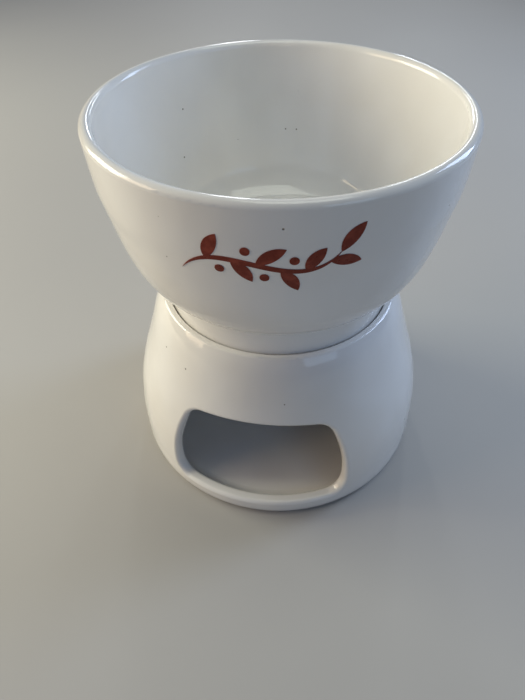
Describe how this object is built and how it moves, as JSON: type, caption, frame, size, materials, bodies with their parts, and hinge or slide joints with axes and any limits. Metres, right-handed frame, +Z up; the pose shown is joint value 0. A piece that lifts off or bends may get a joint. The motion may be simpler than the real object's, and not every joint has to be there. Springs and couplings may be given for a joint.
{
  "type": "fondue pot set",
  "caption": "Glazed ceramic fondue bowl that lifts out of a hollow burner base; the base has a front opening and holds a tealight.",
  "frame": {"origin": "on the table under the middle of the burner base", "axes": "+Z up along the axis of the base and the bowl, -Y out through the base's front opening, +X to the right as seen from the front"},
  "size_m": [0.13, 0.13, 0.152],
  "materials": {
    "base_glaze": "gloss",
    "bowl_glaze": "gloss",
    "brown_enamel": "satin",
    "cup_aluminium": "satin",
    "candle_wax": "satin",
    "sustainer_tin": "satin",
    "wick_cotton": "matte"
  },
  "bodies": {
    "base": {"burner_base": "base_glaze"},
    "bowl": {"fondue_bowl": "bowl_glaze", "painted_sprig": "brown_enamel"},
    "tealight": {"tealight_cup": "cup_aluminium", "tealight_wax": "candle_wax", "wick_sustainer": "sustainer_tin", "tealight_wick": "wick_cotton"}
  },
  "joints": [
    {"name": "bowl_lift", "type": "slide", "parent": "base", "child": "bowl", "axis": [0, 0, 1], "range_m": [0, 0.06]},
    {"name": "tealight_draw", "type": "slide", "parent": "base", "child": "tealight", "axis": [0, -0.9877, 0.1564], "range_m": [0, 0.095]}
  ]
}
